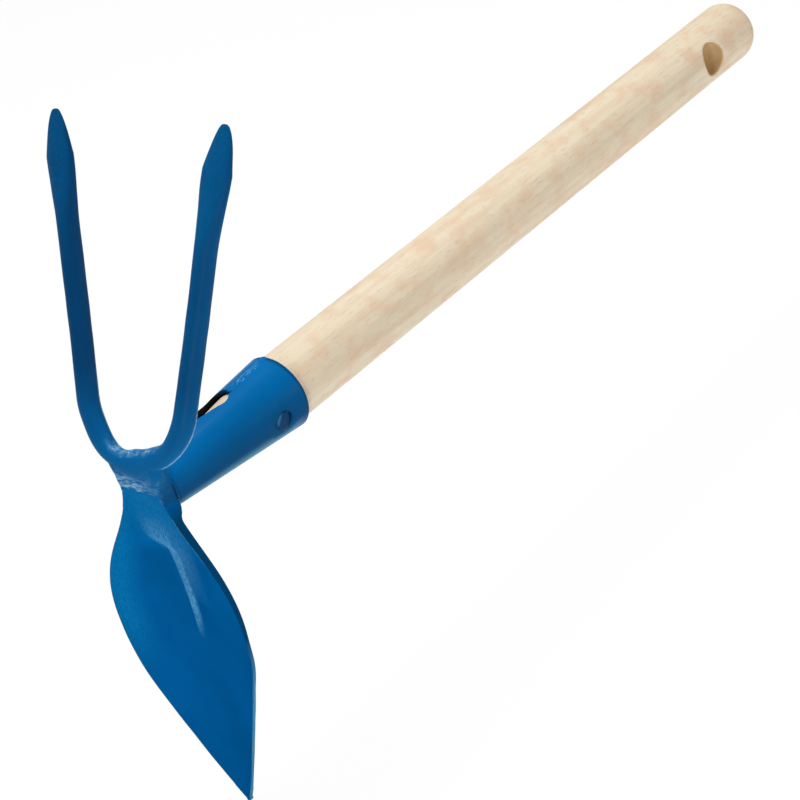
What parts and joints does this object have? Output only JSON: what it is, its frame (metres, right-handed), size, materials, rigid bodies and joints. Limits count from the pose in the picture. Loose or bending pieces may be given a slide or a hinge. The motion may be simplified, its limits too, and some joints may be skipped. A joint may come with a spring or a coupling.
{
  "type": "warren hoe",
  "caption": "Hand hoe with a pronged fork and a leaf-shaped blade on one blue enamelled head, socketed on a turned beech handle with a hanging hole.",
  "frame": {"origin": "centre of the socket mouth on the handle's axis, where the bare handle begins", "axes": "+X along the handle from the head to the butt, +Z towards the fork tips, Y across the fork, with the blade pointing down"},
  "size_m": [0.4156, 0.0928, 0.2744],
  "materials": {
    "beech": "turned and sanded, unvarnished",
    "blue_enamel": "glossy stove enamel on steel",
    "nail_steel": "nail head under the same enamel"
  },
  "bodies": {
    "root": {"handle": "beech", "socket": "blue_enamel", "seam_weld": "blue_enamel", "fixing_nail": "nail_steel", "fork": "blue_enamel", "blade": "blue_enamel", "neck_weld": "blue_enamel", "socket_weld": "blue_enamel"}
  },
  "joints": []
}
